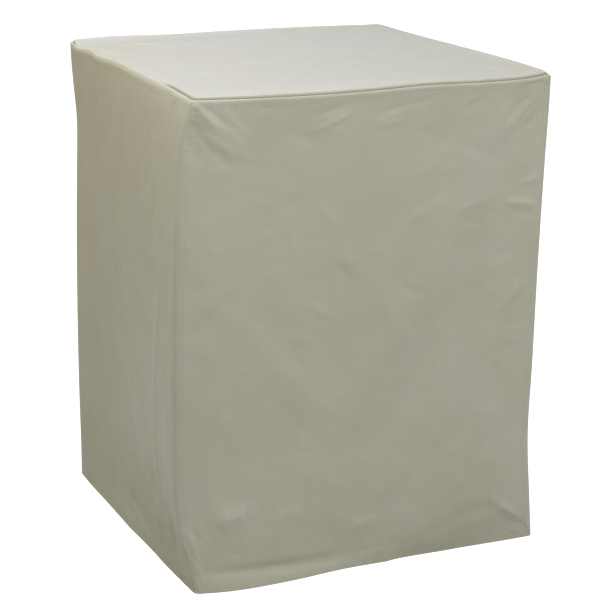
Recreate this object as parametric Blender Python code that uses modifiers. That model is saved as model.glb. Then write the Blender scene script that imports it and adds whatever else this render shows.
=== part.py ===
"""Fitted cover for a square evaporative cooler: a flat top panel and four walls that hang from it.

The origin is the middle of the top panel's flat underside, where the cover rests on the cooler.
+X is to the right along the front wall, +Y is to the back and +Z is up. All sizes are in metres,
and the tables of folds are in millimetres.
"""

import math

import bmesh
import bpy
import numpy as np

MM = 0.001

# Driving sizes
SIDE = 0.711
DROP = 0.938
CLOTH = 0.002
SEAM_GAP = 0.0006
CROWN = 0.004
CROWN_REACH = 0.055
LIP_INSET = 0.005
LIP_REACH = 0.017
HEM_BAND = 0.027
HEM_STEP = 0.0008
HEM_EDGE = 0.004
CORNER_REACH = 0.024
CORNER_ROUNDING = 0.002
CORNER_SOFTENING = 0.003

# The sheets' meshes
ROWS = 28
COLUMNS = 24
ROW_CROWDING = 0.68
COLUMN_CROWDING = 0.5
PATH_STEPS = 64

# How far down the top edge's shape is felt, and how far up the hem's is
TOP_EDGE_REACH = 0.09
HEM_REACH = 0.13

# How far from its edges a wall's folds fade in, and how bluntly each fold ends
FOLD_MARGIN = 0.02
FOLD_TAPER = 0.6

# Each upright seam runs through these levels.
# Columns: share of the drop, shift to the right, shift to the back, shift upwards.
FRONT_LEFT_SEAM = (
    (0.00, 0, 3, 0),
    (0.03, -9, 5, 0),
    (0.07, -16, 8, 0),
    (0.14, -23, 11, 0),
    (0.30, -31, 14, 0),
    (0.50, -36, 16, 0),
    (0.68, -38, 17, 0),
    (0.80, -37, 17, 0),
    (0.89, -25, 12, 0),
    (0.95, -12, 6, 0),
    (1.00, -6, -1, 0),
)
FRONT_RIGHT_SEAM = (
    (0.00, 21, 5, 1),
    (0.04, 19, 4, 0),
    (0.16, 12, 2, 0),
    (0.38, 7, 0, 0),
    (0.60, 2, 1, 0),
    (0.78, -1, 3, 0),
    (0.90, 3, 2, 0),
    (1.00, 8, 2, 0),
)
BACK_RIGHT_SEAM = (
    (0.00, 2, 12, 0),
    (0.05, 6, 12, 0),
    (0.20, 4, 7, 0),
    (0.45, 0, 1, 0),
    (0.70, 1, -3, 0),
    (0.90, 5, 1, 0),
    (1.00, 7, 4, 0),
)
BACK_LEFT_SEAM = (
    (0.00, -5, 12, 4),
    (0.04, -5, 9, 3),
    (0.09, -2, 7, 2),
    (0.16, 2, 5, 0),
    (0.27, -2, 4, 0),
    (0.37, -6, 3, 0),
    (0.56, -11, 1, 0),
    (0.85, -10, -2, -1),
    (0.93, -8, -3, -2),
    (1.00, -8, -4, -3),
)

# Each edge's line between its two seams.
# Columns: share of the edge from its left end, shift outwards, shift upwards.
FRONT_TOP_EDGE = (
    (0.00, 0, 0),
    (0.18, 2, -4),
    (0.45, 2, -6),
    (0.65, 1, -3),
    (0.80, 2, -5),
    (0.93, 1, -4),
    (1.00, 0, 0),
)
RIGHT_TOP_EDGE = (
    (0.00, 0, 0),
    (0.03, 2, 4),
    (0.07, 3, 6),
    (0.25, 3, 8),
    (0.50, 2, 6),
    (0.78, 1, 2),
    (1.00, 0, 0),
)
BACK_TOP_EDGE = (
    (0.00, 0, 0),
    (0.28, 1, 4.5),
    (0.50, 1, 5),
    (0.72, 1, 3),
    (0.90, 2, 4),
    (1.00, 0, 0),
)
LEFT_TOP_EDGE = (
    (0.00, 0, 0),
    (0.08, 5, -5),
    (0.16, -3, -1),
    (0.25, 1, -3),
    (0.36, -4, 0),
    (0.60, -3, 1),
    (0.85, -4, 1),
    (1.00, 0, 0),
)
FRONT_HEM = (
    (0.00, 0, 0),
    (0.10, 5, -1),
    (0.26, 6, -1),
    (0.42, 2, 0),
    (0.60, -3, 0),
    (0.80, -1, 0),
    (1.00, 0, 0),
)
RIGHT_HEM = (
    (0.00, 0, 0),
    (0.30, 7, -1),
    (0.65, -2, 0),
    (1.00, 0, 0),
)
BACK_HEM = (
    (0.00, 0, 0),
    (0.25, -3, 0),
    (0.60, 6, -1),
    (1.00, 0, 0),
)
LEFT_HEM = (
    (0.00, 0, 0),
    (0.08, 4, -1),
    (0.30, 9, -1),
    (0.50, 10, -1),
    (0.62, 7, -1),
    (0.80, 6, 0),
    (1.00, 0, 0),
)

# Folds are soft ridges, or troughs where the height is negative.
# Columns: start, middle and end, each as a distance from the wall's left seam and down from the
# top seam, then the fold's half width and its height.
FRONT_FOLDS = (
    (4, 8, 42, 40, 98, 110, 13, 6),
    (40, 12, 78, 55, 118, 102, 12, 4.5),
    (10, 40, 16, 75, 30, 120, 14, -5),
    (20, 60, 44, 76, 72, 98, 9, 2.5),
    (706, 30, 672, 74, 640, 118, 12, 5),
    (655, 45, 632, 82, 606, 140, 13, 4),
    (236, 74, 272, 60, 310, 46, 12, 3),
    (368, 74, 400, 60, 434, 46, 12, 2.5),
    (574, 220, 556, 430, 340, 725, 32, -6),
    (560, 190, 486, 310, 400, 480, 30, 3.5),
    (622, 260, 604, 440, 440, 700, 26, 3),
    (100, 380, 200, 515, 325, 630, 26, 4),
    (60, 780, 90, 797, 130, 800, 22, 3),
    (300, 850, 350, 853, 400, 835, 22, 3),
    (485, 905, 590, 862, 690, 860, 16, -5),
    (636, 842, 672, 866, 702, 902, 13, 4),
)
LEFT_FOLDS = (
    (335, 40, 270, 420, 512, 790, 24, 4.5),
    (392, 580, 458, 690, 534, 780, 20, 3.5),
    (556, 170, 550, 250, 552, 330, 13, -4),
    (506, 200, 503, 260, 506, 330, 13, 2.5),
    (612, 300, 545, 600, 562, 800, 16, 4),
    (330, 872, 390, 892, 450, 915, 13, -3.5),
    (150, 90, 118, 450, 170, 830, 42, -5),
    (60, 160, 75, 420, 66, 700, 24, 3),
    (590, 800, 600, 850, 618, 900, 16, -5),
)
RIGHT_FOLDS = (
    (40, 60, 110, 150, 150, 290, 24, 4),
    (330, 90, 300, 400, 390, 760, 34, -5),
    (520, 120, 470, 430, 560, 800, 30, 4.5),
    (180, 480, 220, 640, 160, 860, 26, 3.5),
)
BACK_FOLDS = (
    (60, 60, 150, 190, 190, 330, 28, 4),
    (360, 110, 400, 440, 330, 800, 36, -5),
    (620, 70, 540, 210, 520, 420, 26, 4.5),
    (560, 500, 500, 660, 580, 860, 26, 3.5),
)

# Columns: name, quarter turns from the front, seam on its left and on its right seen from outside,
# how far along the wall each seam's shift in or out is felt, top edge, hem and folds.
WALL_FIELDS = ("name", "turns", "left", "right", "left_reach", "right_reach", "top", "hem", "folds")
WALLS = (
    ("front_wall", 0, "front_left", "front_right", 110, 60, FRONT_TOP_EDGE, FRONT_HEM, FRONT_FOLDS),
    ("right_wall", 1, "front_right", "back_right", 400, 300, RIGHT_TOP_EDGE, RIGHT_HEM, RIGHT_FOLDS),
    ("back_wall", 2, "back_right", "back_left", 300, 300, BACK_TOP_EDGE, BACK_HEM, BACK_FOLDS),
    ("left_wall", 3, "back_left", "front_left", 300, 620, LEFT_TOP_EDGE, LEFT_HEM, LEFT_FOLDS),
)

# Columns: name, side to the right or left, side to the back or front, levels.
SEAMS = {
    "front_left": (-1, -1, FRONT_LEFT_SEAM),
    "front_right": (1, -1, FRONT_RIGHT_SEAM),
    "back_right": (1, 1, BACK_RIGHT_SEAM),
    "back_left": (-1, 1, BACK_LEFT_SEAM),
}

CLOTH_COLOUR = (0.376, 0.366, 0.287, 1.0)
CLOTH_ROUGHNESS = 0.55


def clear_scene():
    """Removes every object, so that the scene holds only the cover."""
    for old in list(bpy.data.objects):
        bpy.data.objects.remove(old, do_unlink=True)


def through_rows(rows, places):
    """Each column of a table at some places, on a smooth curve through its rows."""
    table = np.array(rows, float)
    knots, values = table[:, 0], table[:, 1:]
    slopes = np.gradient(values, knots, axis=0)
    before = np.clip(np.searchsorted(knots, places, side="right") - 1, 0, len(knots) - 2)
    span = (knots[before + 1] - knots[before])[..., None]
    t = (places - knots[before])[..., None] / span
    start, end = values[before], values[before + 1]
    leaving, arriving = slopes[before] * span, slopes[before + 1] * span
    curve = start + t * leaving + t**2 * (3 * (end - start) - 2 * leaving - arriving)
    curve += t**3 * (2 * (start - end) + leaving + arriving)
    return np.moveaxis(curve, -1, 0)


def felt(shift, distance, reach):
    """A shift at an edge, as it is felt at a distance from it: all of it there, none past the reach."""
    return shift * np.clip(1 - distance / reach, 0, 1) ** 2


def rise_between(low, high, x):
    """0 below low, 1 above high and a smooth rise between them."""
    t = np.clip((x - low) / (high - low), 0, 1)
    return t * t * (3 - 2 * t)


def corner_rounding(down):
    """How far a seam is drawn in from its two walls' planes. It is roundest halfway down."""
    return CORNER_ROUNDING + CORNER_SOFTENING * np.sin(math.pi * down)


def lip_inset(down):
    """How far a wall is drawn in at its top, where it rolls over to the seam."""
    return felt(LIP_INSET, down * DROP, LIP_REACH)


def seam_shift(name, down):
    """An upright seam's shift in plan, right as the real part and back as the imaginary one, and up."""
    right, back, up = through_rows(SEAMS[name][2], down) * MM
    return right + 1j * back, up


def seam_line(name, down):
    """An upright seam's place in plan, as complex numbers, at some shares of the drop."""
    to_right, to_back, _ = SEAMS[name]
    half = SIDE / 2 - lip_inset(down) - corner_rounding(down)
    return half * (to_right + 1j * to_back) + seam_shift(name, down)[0]


def fold_height(folds, along, drop):
    """The sum of a wall's folds at distances along and down, each one a soft ridge along a curve."""
    total = np.zeros_like(along)
    t = np.linspace(0, 1, PATH_STEPS)
    for start_x, start_y, middle_x, middle_y, end_x, end_y, width, height in folds:
        bend_x = 2 * middle_x - (start_x + end_x) / 2
        bend_y = 2 * middle_y - (start_y + end_y) / 2
        path_x = ((1 - t) ** 2 * start_x + 2 * t * (1 - t) * bend_x + t**2 * end_x) * MM
        path_y = ((1 - t) ** 2 * start_y + 2 * t * (1 - t) * bend_y + t**2 * end_y) * MM
        distance = np.hypot(along[..., None] - path_x, drop[..., None] - path_y)
        nearest = distance.argmin(axis=-1)
        taper = np.sin(math.pi * np.clip(t[nearest], 0, 1)) ** FOLD_TAPER
        total += height * MM * taper * np.exp(-((distance.min(axis=-1) / (width * MM)) ** 2))
    return total


def corner_fade(first, second):
    """0 on either of two edges and 1 further than a fold's margin from both."""
    return rise_between(0, FOLD_MARGIN, first) * rise_between(0, FOLD_MARGIN, second)


def wall_surface(wall, across, down):
    """Outer face of a wall, at shares across it from its left seam and down it from the top seam."""
    turn = 1j ** wall["turns"]
    left = seam_line(wall["left"], down) / turn
    right = seam_line(wall["right"], down) / turn
    along = left.real + (right.real - left.real) * across
    from_left = along - left.real
    from_right = right.real - along
    between_seams = corner_fade(from_left, from_right)

    left_shift, left_up = seam_shift(wall["left"], down)
    right_shift, right_up = seam_shift(wall["right"], down)
    rounding = corner_rounding(down)
    out = SIDE / 2 - lip_inset(down)
    out = out - felt(rounding, from_left, CORNER_REACH) - felt(rounding, from_right, CORNER_REACH)
    out = out - felt((left_shift / turn).imag, from_left, wall["left_reach"] * MM)
    out = out - felt((right_shift / turn).imag, from_right, wall["right_reach"] * MM)

    drop = down * DROP
    top_out, top_rise = through_rows(wall["top"], across) * MM
    hem_out, hem_rise = through_rows(wall["hem"], across) * MM
    out = out + felt(top_out, drop, TOP_EDGE_REACH) + felt(hem_out, DROP - drop, HEM_REACH)
    out = out + HEM_STEP * between_seams * rise_between(-HEM_BAND - HEM_EDGE, -HEM_BAND, drop - DROP)
    fade = between_seams * corner_fade(drop, DROP - drop)
    out = out + fade * fold_height(wall["folds"], from_left, drop)

    plan = (along - 1j * out) * turn
    height = CLOTH - CROWN - drop + (1 - across) * left_up + across * right_up
    height = height + felt(top_rise, drop, TOP_EDGE_REACH) + hem_rise * down
    return np.stack([plan.real, plan.imag, height], axis=-1)


def crowded(steps, crowding):
    """Shares from 0 to 1 that stand closer at both ends, where the cloth bends most."""
    share = np.linspace(0, 1, steps + 1)
    return share - crowding * np.sin(2 * math.pi * share) / (2 * math.pi)


def unit(vectors):
    """Vectors of length one, along the last axis."""
    return vectors / np.linalg.norm(vectors, axis=-1, keepdims=True)


def drawn_back(edge, own_next, other_next):
    """An edge moved back along its own cloth until it clears the sheet that it meets."""
    own, other = unit(own_next - edge), unit(other_next - edge)
    sine = np.linalg.norm(np.cross(own, other), axis=-1, keepdims=True)
    return edge + own * (CLOTH + SEAM_GAP) / sine


def wall_points(wall):
    """Outer points of a wall, as rows from the top seam down and columns from its left seam."""
    across, down = np.meshgrid(crowded(COLUMNS, COLUMN_CROWDING), crowded(ROWS, ROW_CROWDING))
    return wall_surface(wall, across, down)


def top_points(front, right, back, left):
    """Outer points of the top panel, which fills the walls' top edges and lies flat inside them."""
    share = crowded(COLUMNS, COLUMN_CROWDING)
    back, left = back[::-1], left[::-1]
    s, t = np.meshgrid(share, share)
    s, t = s[..., None], t[..., None]
    edges = (1 - t) * front[None] + t * back[None] + (1 - s) * left[:, None] + s * right[:, None]
    corners = (1 - s) * (1 - t) * front[0] + s * (1 - t) * front[-1]
    corners = corners + (1 - s) * t * back[0] + s * t * back[-1]
    points = edges - corners

    inset = SIDE / 2 - LIP_INSET - np.maximum(abs(points[..., 0]), abs(points[..., 1]))
    flat = 1 - (1 - np.clip(inset / CROWN_REACH, 0, 1)) ** 2
    points[..., 2] = points[..., 2] * (1 - flat) + CLOTH * flat
    return points


def cloth_material(name):
    """Coated cloth, matt with a little sheen."""
    material = bpy.data.materials.new(name)
    material.use_nodes = True
    shader = material.node_tree.nodes["Principled BSDF"]
    shader.inputs["Base Color"].default_value = CLOTH_COLOUR
    shader.inputs["Roughness"].default_value = CLOTH_ROUGHNESS
    shader.inputs["Metallic"].default_value = 0.0
    return material


def add_sheet(name, points, collection):
    """A sheet of cloth with its outer face on a grid of points and its thickness behind them."""
    rows, columns = points.shape[0] - 1, points.shape[1] - 1
    mesh = bpy.data.meshes.new(name)
    shape = bmesh.new()
    bmesh.ops.create_grid(shape, x_segments=columns, y_segments=rows, size=0.5)
    for vertex in shape.verts:
        column = round((vertex.co.x + 0.5) * columns)
        row = round((vertex.co.y + 0.5) * rows)
        vertex.co = points[row, column]
    shape.to_mesh(mesh)
    shape.free()

    sheet = bpy.data.objects.new(name, mesh)
    collection.objects.link(sheet)
    mesh.materials.append(cloth_material(name))
    mesh.shade_smooth()
    thickness = sheet.modifiers.new("thickness", "SOLIDIFY")
    thickness.thickness = CLOTH
    thickness.offset = -1
    thickness.use_even_offset = True
    return sheet


def build_cover():
    """The top panel and the four walls, each drawn back from the sheet that it meets."""
    collection = bpy.data.collections.new("evaporative_cooler_cover")
    bpy.context.scene.collection.children.link(collection)
    walls = [dict(zip(WALL_FIELDS, row)) for row in WALLS]
    grids = [wall_points(wall) for wall in walls]
    top = top_points(*[grid[0] for grid in grids])

    beside_edges = (top[1], top[:, -2], top[-2, ::-1], top[::-1, 1])
    whole = [grid.copy() for grid in grids]
    for grid, beside in zip(grids, beside_edges):
        grid[0] = drawn_back(grid[0], grid[1], beside)
    for index in (1, 3):
        before, own, after = whole[index - 1], grids[index], whole[(index + 1) % 4]
        own[:, 0] = drawn_back(own[:, 0], own[:, 1], before[:, -2])
        own[:, -1] = drawn_back(own[:, -1], own[:, -2], after[:, 1])

    add_sheet("top_panel", top, collection)
    for wall, grid in zip(walls, grids):
        add_sheet(wall["name"], grid[::-1], collection)


clear_scene()
build_cover()
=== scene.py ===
"""Dressed model of a fitted cover for a square evaporative cooler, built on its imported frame.

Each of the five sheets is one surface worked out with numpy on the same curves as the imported
part: its upright seams, top edges, hems and main folds. On those come the felled seams, the turned
hem, the stitching and the small creases and dents of coated cloth.
"""

import logging
import math
from dataclasses import dataclass, field
from enum import Enum

import bpy
import numpy as np
from mathutils import Matrix, Vector
from numpy.typing import NDArray


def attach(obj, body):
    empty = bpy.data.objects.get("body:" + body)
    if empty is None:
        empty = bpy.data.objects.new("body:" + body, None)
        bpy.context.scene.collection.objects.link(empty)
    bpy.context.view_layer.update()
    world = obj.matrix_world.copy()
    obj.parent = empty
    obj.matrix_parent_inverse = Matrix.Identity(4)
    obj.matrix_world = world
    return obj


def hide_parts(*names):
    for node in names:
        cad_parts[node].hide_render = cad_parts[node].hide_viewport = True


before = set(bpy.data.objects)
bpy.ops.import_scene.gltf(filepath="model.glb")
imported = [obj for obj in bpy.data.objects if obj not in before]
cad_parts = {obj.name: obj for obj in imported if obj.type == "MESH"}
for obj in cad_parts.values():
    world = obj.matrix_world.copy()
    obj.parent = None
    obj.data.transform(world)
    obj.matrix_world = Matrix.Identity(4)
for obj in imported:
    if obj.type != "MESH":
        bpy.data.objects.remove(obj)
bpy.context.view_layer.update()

log = logging.getLogger("cooler_cover")

Array = NDArray[np.float64]
Row = tuple[float, ...]
MM = 0.001


# Curves and soft steps

def through_rows(rows: tuple[Row, ...], places: Array) -> Array:
    """Each column of a table at some places, on a smooth curve through its rows.

    Formula: a cubic Hermite curve whose slopes at the rows are those of the chords around them.

    Args:
        rows: the place, then the values there.
        places: where the curve is read.

    Returns:
        One array of the places' shape for each column of values.
    """
    table = np.array(rows, float)
    knots, values = table[:, 0], table[:, 1:]
    slopes = np.gradient(values, knots, axis=0)
    before = np.clip(np.searchsorted(knots, places, side="right") - 1, 0, len(knots) - 2)
    span = (knots[before + 1] - knots[before])[..., None]
    t = (places - knots[before])[..., None] / span
    start, end = values[before], values[before + 1]
    leaving, arriving = slopes[before] * span, slopes[before + 1] * span
    curve = start + t * leaving + t**2 * (3 * (end - start) - 2 * leaving - arriving)
    curve += t**3 * (2 * (start - end) + leaving + arriving)
    return np.moveaxis(curve, -1, 0)


def felt(shift: Array | float, distance: Array, reach: float) -> Array:
    """A shift at an edge as it is felt at a distance: all of it there, none past the reach."""
    return shift * np.clip(1 - distance / reach, 0, 1) ** 2


def rise_between(low: float, high: float, x: Array) -> Array:
    """0 below low, 1 above high and a smooth rise between them."""
    t = np.clip((x - low) / (high - low), 0, 1)
    return t * t * (3 - 2 * t)


def bell(distance: Array, width: float) -> Array:
    """1 at no distance and a soft fall to nothing at about twice the width."""
    return np.exp(-((distance / width) ** 2))


def unit(vectors: Array) -> Array:
    """Vectors of length one, along the last axis."""
    return vectors / np.linalg.norm(vectors, axis=-1, keepdims=True)


# Where the cloth bends or is sewn: the tables are in millimetres

# Upright seams. Columns: share of the drop, shift to the right, to the back and upwards.
FRONT_LEFT_SEAM: tuple[Row, ...] = (
    (0.00, 0, 3, 0),
    (0.03, -9, 5, 0),
    (0.07, -16, 8, 0),
    (0.14, -23, 11, 0),
    (0.30, -31, 14, 0),
    (0.50, -36, 16, 0),
    (0.68, -38, 17, 0),
    (0.80, -37, 17, 0),
    (0.89, -25, 12, 0),
    (0.95, -12, 6, 0),
    (1.00, -6, -1, 0),
)
FRONT_RIGHT_SEAM: tuple[Row, ...] = (
    (0.00, 17, 5, 0),
    (0.04, 16, 4, 0),
    (0.16, 11, 2, 0),
    (0.38, 4, 0, 0),
    (0.60, 0, 1, 0),
    (0.78, -4, 3, 0),
    (0.90, 2, 2, 0),
    (1.00, 8, 2, 0),
)
BACK_RIGHT_SEAM: tuple[Row, ...] = (
    (0.00, 2, 12, -3),
    (0.05, 6, 12, -1),
    (0.20, 4, 7, 0),
    (0.45, 0, 1, 0),
    (0.70, 1, -3, 0),
    (0.90, 5, 1, 0),
    (1.00, 7, 4, 0),
)
BACK_LEFT_SEAM: tuple[Row, ...] = (
    (0.00, -2, 12, 4),
    (0.04, -2, 9, 3),
    (0.09, 0, 7, 2),
    (0.16, 4, 5, 0),
    (0.27, 1, 4, 0),
    (0.37, -3, 3, 0),
    (0.56, -8, 1, 0),
    (0.85, -9, -2, -1),
    (0.93, -8, -3, -2),
    (1.00, -8, -4, -3),
)

# Top edges and hems. Columns: share of the edge from its left end, shift outwards and upwards.
FRONT_TOP_EDGE: tuple[Row, ...] = (
    (0.00, 0, 0),
    (0.18, 2, -4),
    (0.45, 2, -6),
    (0.65, 1, -3),
    (0.80, 2, -5),
    (0.93, 1, -4),
    (1.00, 0, 0),
)
RIGHT_TOP_EDGE: tuple[Row, ...] = (
    (0.00, 0, 0),
    (0.03, 2, 2),
    (0.07, 3, 3),
    (0.25, 3, 5.5),
    (0.50, 2, 4.5),
    (0.78, 1, 1),
    (1.00, 0, 0),
)
BACK_TOP_EDGE: tuple[Row, ...] = (
    (0.00, 0, 0),
    (0.28, 1, 4.5),
    (0.50, 1, 5),
    (0.72, 1, 3),
    (0.90, 2, 4),
    (1.00, 0, 0),
)
LEFT_TOP_EDGE: tuple[Row, ...] = (
    (0.00, 0, 0),
    (0.08, 5, -5),
    (0.16, -3, -1),
    (0.25, 1, -3),
    (0.36, -4, 0),
    (0.60, -3, 1),
    (0.85, -4, 1),
    (1.00, 0, 0),
)
FRONT_HEM: tuple[Row, ...] = (
    (0.00, 0, 0),
    (0.06, 7, -2),
    (0.26, 9, -3),
    (0.42, 3, 0),
    (0.58, -3, -3),
    (0.74, -2, -6),
    (0.90, -1, -4),
    (1.00, 0, 0),
)
RIGHT_HEM: tuple[Row, ...] = ((0.00, 0, 0), (0.30, 7, -1), (0.65, -2, 0), (1.00, 0, 0))
BACK_HEM: tuple[Row, ...] = ((0.00, 0, 0), (0.25, -3, 0), (0.60, 6, -1), (1.00, 0, 0))
LEFT_HEM: tuple[Row, ...] = (
    (0.00, 0, 0),
    (0.08, 4, -1),
    (0.30, 9, -1),
    (0.50, 10, -1),
    (0.62, 7, -1),
    (0.80, 6, 0),
    (1.00, 0, 0),
)

# Main folds of each wall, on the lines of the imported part's folds, a little softer or fuller.
# Columns: start, middle and end, each along the wall and down it, then half width and height.
FRONT_FOLDS: tuple[Row, ...] = (
    (4, 8, 42, 40, 98, 110, 13, 3.5),
    (40, 12, 78, 55, 118, 102, 12, 2.2),
    (10, 40, 16, 75, 30, 120, 14, -3),
    (20, 60, 44, 76, 72, 98, 9, 1.5),
    (706, 30, 672, 74, 640, 118, 12, 3),
    (655, 45, 632, 82, 606, 140, 13, 2),
    (236, 74, 272, 60, 310, 46, 12, 1.2),
    (368, 74, 400, 60, 434, 46, 12, 1),
    (590, 240, 566, 440, 385, 720, 40, -9),
    (505, 220, 485, 400, 320, 640, 42, 6),
    (622, 260, 604, 440, 440, 700, 26, 3),
    (100, 380, 200, 515, 325, 630, 26, 2.4),
    (60, 780, 90, 797, 130, 800, 22, 3),
    (300, 850, 350, 853, 400, 835, 22, 3),
    (485, 905, 590, 862, 690, 860, 16, -3),
    (636, 842, 672, 866, 702, 902, 13, 4),
)
LEFT_FOLDS: tuple[Row, ...] = (
    (335, 40, 270, 420, 512, 790, 24, 4.5),
    (392, 580, 458, 690, 534, 780, 20, 3.5),
    (556, 170, 550, 250, 552, 330, 13, -4),
    (506, 200, 503, 260, 506, 330, 13, 2.5),
    (612, 300, 545, 600, 562, 800, 16, 4),
    (330, 872, 390, 892, 450, 915, 13, -3.5),
    (150, 90, 118, 450, 170, 830, 42, -5),
    (60, 160, 75, 420, 66, 700, 24, 3),
    (606, 790, 618, 850, 630, 900, 13, -2.8),
)
RIGHT_FOLDS: tuple[Row, ...] = (
    (40, 60, 110, 150, 150, 290, 24, 4),
    (330, 90, 300, 400, 390, 760, 34, -5),
    (520, 120, 470, 430, 560, 800, 30, 4.5),
    (180, 480, 220, 640, 160, 860, 26, 3.5),
)
BACK_FOLDS: tuple[Row, ...] = (
    (60, 60, 150, 190, 190, 330, 28, 4),
    (360, 110, 400, 440, 330, 800, 36, -5),
    (620, 70, 540, 210, 520, 420, 26, 4.5),
    (560, 500, 500, 660, 580, 860, 26, 3.5),
)

# Small creases that only the dressed cloth has. The columns are those of the main folds.
FRONT_CREASES: tuple[Row, ...] = (
    (5, 9, 31, 30, 70, 63, 4.5, 1.5),
    (14, 6, 50, 29, 89, 59, 5, -2.0),
    (58, 13, 92, 44, 122, 75, 5, 1.3),
    (22, 62, 56, 92, 90, 123, 6, -1.7),
    (35, 62, 63, 79, 99, 107, 5, 1.5),
    (5, 32, 23, 58, 41, 77, 6, -1.6),
    (239, 43, 276, 34, 317, 23, 8, -1.7),
    (247, 73, 281, 61, 323, 43, 5, 1.2),
    (373, 55, 399, 44, 430, 35, 6, -1.3),
    (384, 75, 408, 69, 432, 67, 5, 1.0),
    (438, 35, 463, 32, 486, 29, 5, -1.0),
    (555, 59, 573, 43, 592, 34, 7, -1.5),
    (585, 88, 593, 71, 601, 57, 5, 0.9),
    (664, 13, 690, 13, 716, 12, 2.6, -1.5),
    (653, 66, 676, 48, 699, 38, 7, -1.6),
    (673, 96, 692, 73, 710, 53, 4.5, 1.6),
    (639, 107, 648, 90, 654, 75, 5, 1.1),
    (689, 100, 706, 82, 716, 64, 5, -1.1),
    (534, 122, 503, 146, 465, 188, 9, 1.7),
    (444, 267, 468, 253, 500, 233, 9, 1.2),
    (558, 258, 573, 248, 591, 236, 7, 1.0),
    (687, 207, 709, 202, 728, 196, 6, 2.2),
    (659, 240, 694, 243, 728, 254, 6, 3.2),
    (669, 323, 679, 307, 689, 292, 5, 1.1),
    (665, 455, 684, 427, 709, 395, 8, 2.4),
    (674, 484, 701, 483, 727, 474, 6, -1.4),
    (672, 264, 700, 264, 722, 267, 6, -1.8),
    (253, 394, 278, 413, 306, 429, 7, 1.3),
    (270, 212, 289, 229, 308, 250, 6, 1.1),
    (200, 239, 219, 271, 235, 322, 6, 1.1),
    (142, 249, 157, 249, 177, 263, 8, 0.9),
    (147, 197, 157, 197, 169, 203, 6, 0.9),
    (57, 264, 66, 275, 77, 291, 6, 0.8),
    (297, 559, 314, 575, 331, 594, 7, 1.1),
    (71, 815, 106, 792, 149, 783, 16, 3.2),
    (174, 827, 203, 807, 238, 796, 13, 2.6),
    (332, 864, 357, 849, 389, 840, 9, 1.7),
    (286, 757, 315, 761, 348, 770, 7, 1.0),
    (418, 789, 447, 760, 470, 730, 9, 1.3),
    (557, 798, 580, 791, 607, 787, 7, 1.1),
    (658, 862, 681, 876, 708, 902, 5, 1.7),
    (668, 912, 686, 920, 709, 931, 5, 1.3),
    (400, 945, 560, 938, 712, 908, 42, -13),
    (400, 300, 380, 380, 340, 460, 40, 3),
    (10, 820, 14, 848, 15, 877, 5, 2.0),
    (6, 868, 10, 888, 17, 905, 5, 1.5),
    (14, 900, 175, 908, 340, 914, 12, -5.5),
    (180, 560, 250, 640, 330, 700, 16, -1.3),
    (130, 300, 170, 400, 180, 520, 24, -1.4),
    (610, 520, 560, 640, 500, 740, 16, 1.4),
    (40, 620, 60, 700, 64, 780, 12, 1.2),
)
LEFT_CREASES: tuple[Row, ...] = (
    (139, 58, 112, 183, 146, 280, 14, -2.0),
    (195, 88, 180, 170, 182, 272, 8, 1.2),
    (267, 169, 290, 180, 308, 188, 7, -1.2),
    (495, 52, 465, 98, 478, 161, 9, -1.7),
    (524, 87, 556, 155, 572, 217, 9, 1.2),
    (608, 190, 617, 235, 635, 309, 7, -2.0),
    (555, 221, 548, 251, 543, 275, 6, 1.4),
    (474, 326, 532, 321, 596, 362, 7, 1.0),
    (332, 310, 306, 387, 298, 533, 8, 1.3),
    (240, 424, 233, 510, 267, 616, 10, -1.8),
    (120, 437, 148, 458, 193, 499, 10, -1.3),
    (691, 209, 686, 292, 683, 386, 6, 1.2),
    (658, 216, 655, 337, 636, 437, 7, -1.1),
    (511, 493, 555, 519, 563, 566, 7, -1.5),
    (588, 519, 618, 529, 626, 560, 6, 1.0),
    (324, 505, 351, 664, 433, 783, 15, -3.4),
    (389, 528, 426, 619, 490, 701, 8, 1.1),
    (168, 744, 216, 794, 252, 847, 10, -1.4),
    (541, 663, 553, 720, 568, 766, 6, 1.3),
    (492, 741, 512, 776, 540, 797, 8, -1.8),
    (634, 553, 639, 630, 628, 713, 6, 1.3),
    (320, 860, 370, 870, 408, 897, 6, -2.1),
    (316, 889, 365, 897, 402, 909, 6, 1.2),
    (636, 780, 614, 850, 614, 905, 10, -2.4),
    (440, 800, 505, 860, 525, 915, 18, 2.0),
    (486, 844, 533, 852, 570, 859, 7, 1.0),
    (689, 843, 685, 876, 690, 899, 5, -1.8),
    (52, 262, 40, 330, 48, 420, 10, 1.2),
    (60, 40, 66, 90, 62, 150, 9, 1.3),
)
RIGHT_CREASES: tuple[Row, ...] = (
    (30, 40, 70, 90, 90, 150, 9, 1.6),
    (420, 60, 440, 120, 436, 210, 12, 1.5),
    (600, 300, 560, 420, 590, 560, 14, 1.6),
    (120, 300, 170, 420, 150, 560, 14, -1.5),
    (640, 820, 600, 860, 540, 900, 9, 1.8),
)
BACK_CREASES: tuple[Row, ...] = (
    (40, 30, 80, 80, 110, 140, 9, 1.6),
    (300, 200, 280, 320, 310, 440, 14, 1.6),
    (470, 300, 440, 420, 470, 560, 14, -1.6),
    (160, 500, 200, 640, 150, 780, 15, 1.6),
    (660, 780, 620, 830, 560, 880, 10, 1.8),
)


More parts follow.
